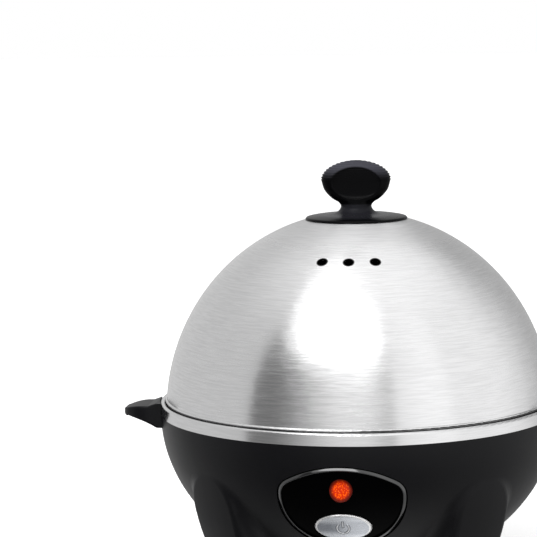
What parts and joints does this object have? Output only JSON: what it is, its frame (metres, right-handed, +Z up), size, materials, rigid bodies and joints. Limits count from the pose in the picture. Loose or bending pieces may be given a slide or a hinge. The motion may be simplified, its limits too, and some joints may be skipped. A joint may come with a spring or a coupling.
{
  "type": "electric egg cooker",
  "caption": "Countertop egg steamer: black bowl on legs, steel rim, brushed steel dome lid with knob, egg tray, water pan, heater and push button panel.",
  "frame": {"origin": "on the table under the middle of the bowl", "axes": "+Z up along the bowl's axis, -Y to the front where the control panel is, +X to the handle on the right of someone who faces that panel"},
  "size_m": [0.2068, 0.176, 0.1827],
  "materials": {
    "lid_steel": "circumferentially brushed stainless steel",
    "rim_steel": "finely brushed stainless steel with a rounded bright edge",
    "pan_steel": "drawn stainless steel, satin",
    "black_plastic": "satin moulded black plastic",
    "knob_plastic": "satin moulded black plastic",
    "tray_plastic": "satin moulded black plastic",
    "bezel_plastic": "semi-gloss black plastic",
    "fascia_gloss": "high-gloss black plastic",
    "button_silver": "silver plated, brushed",
    "lens_amber": "translucent amber with a knurled face",
    "silicone_black": "matt silicone rubber",
    "silicone_grey": "matt silicone rubber",
    "heater_aluminium": "cast aluminium",
    "element_steel": "drawn steel tube",
    "strap_steel": "zinc plated steel",
    "screw_steel": "zinc plated steel",
    "bakelite": "brown phenolic resin",
    "fuse_sleeve": "woven glass sleeve over the fuse",
    "carrier_plastic": "natural moulded plastic",
    "lamp_glass": "small neon bulb",
    "switch_plastic": "moulded black plastic",
    "plunger_plastic": "moulded white plastic",
    "block_plastic": "moulded ivory plastic",
    "wire_brown": "silicone insulated wire",
    "wire_blue": "silicone insulated wire",
    "wire_red": "silicone insulated wire",
    "wire_white": "silicone insulated wire"
  },
  "bodies": {
    "base": {"base_housing": "black_plastic", "bottom_cover": "black_plastic", "carrier_screws": "screw_steel", "control_carrier": "carrier_plastic", "cord_gland": "silicone_black", "cover_screws": "screw_steel", "element_lead": "wire_white", "element_pins": "strap_steel", "fuse_lead": "wire_white", "fuse_strap": "strap_steel", "heater_plate": "heater_aluminium", "heating_element": "element_steel", "indicator_lamp": "lamp_glass", "indicator_lens": "lens_amber", "lamp_leads": "wire_white", "live_lead": "wire_brown", "neutral_lead": "wire_blue", "pan_gasket": "silicone_grey", "panel_bezel": "bezel_plastic", "panel_fascia": "fascia_gloss", "push_switch": "switch_plastic", "rim_ring": "rim_steel", "rim_screws": "screw_steel", "rubber_feet": "silicone_black", "strap_screws": "screw_steel", "switched_lead": "wire_red", "terminal_block": "block_plastic", "thermal_fuse": "fuse_sleeve", "thermostat": "bakelite", "thermostat_strap": "strap_steel", "water_pan": "pan_steel"},
    "tray": {"egg_tray": "tray_plastic"},
    "lid": {"lid_shell": "lid_steel", "lid_knob": "knob_plastic", "knob_washer": "strap_steel", "knob_screw": "screw_steel"},
    "button": {"power_button": "button_silver"},
    "plunger": {"switch_plunger": "plunger_plastic"}
  },
  "joints": [
    {"name": "tray_lift", "type": "slide", "parent": "base", "child": "tray", "axis": [0, 0, 1], "range_m": [0, 0.06]},
    {"name": "lid_lift", "type": "slide", "parent": "tray", "child": "lid", "axis": [0, 0, 1], "range_m": [0, 0.12]},
    {"name": "button_press", "type": "slide", "parent": "base", "child": "button", "axis": [0, 1, 0], "range_m": [0, 0.0025], "stiffness_N_per_m": 700, "springref_m": -0.001},
    {"name": "plunger_press", "type": "slide", "parent": "base", "child": "plunger", "axis": [0, 1, 0], "range_m": [0, 0.0025]}
  ],
  "couplings": [
    {"joint": "plunger_press", "follows": "button_press", "ratio": 1}
  ]
}
